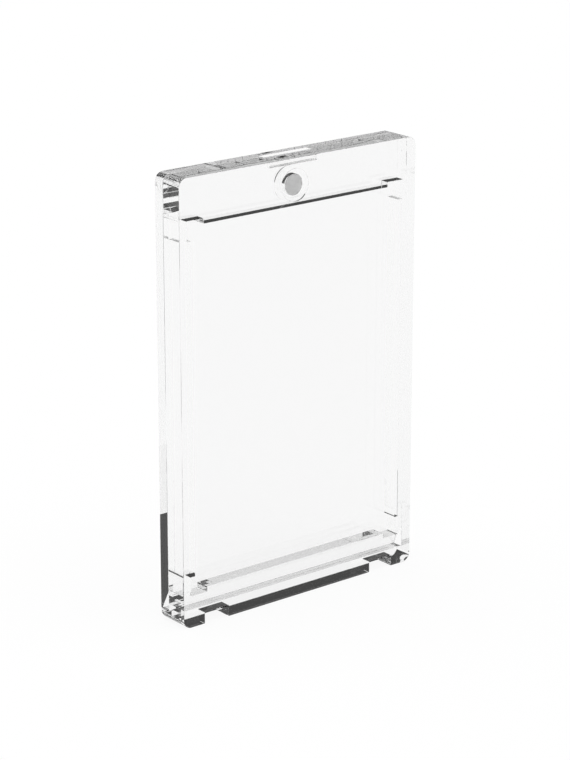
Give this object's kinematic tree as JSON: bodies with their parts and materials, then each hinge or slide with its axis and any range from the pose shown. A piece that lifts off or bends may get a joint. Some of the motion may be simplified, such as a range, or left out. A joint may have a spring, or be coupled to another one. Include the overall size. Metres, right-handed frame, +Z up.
{
  "type": "magnetic card holder",
  "caption": "Clear two-part display case for one trading card, closed at the top by a pair of small disc magnets and opened by tipping the rear cover back.",
  "frame": {"origin": "middle of the rectangle that the closed case covers on the table, at table height", "axes": "+Z up along the card's height, -Y out of the front window towards the viewer, +X across the card to the viewer's right"},
  "size_m": [0.073, 0.0094, 0.1122],
  "materials": {
    "clear_acrylic": "clear, polished on every face",
    "clear_filler": "clear cast filler",
    "plated_magnet": "satin nickel plating"
  },
  "bodies": {
    "front_half": {"front_cover": "clear_acrylic", "front_magnet_plug": "clear_filler", "front_magnet": "plated_magnet"},
    "rear_half": {"rear_cover": "clear_acrylic", "rear_magnet_plug": "clear_filler", "rear_magnet": "plated_magnet"}
  },
  "joints": [
    {"name": "rear_half_tilt", "type": "hinge", "parent": "front_half", "child": "rear_half", "pos_m": [0, 0.00453, 0.00297], "axis": [-1, 0, 0], "range_deg": [0, 90]}
  ]
}
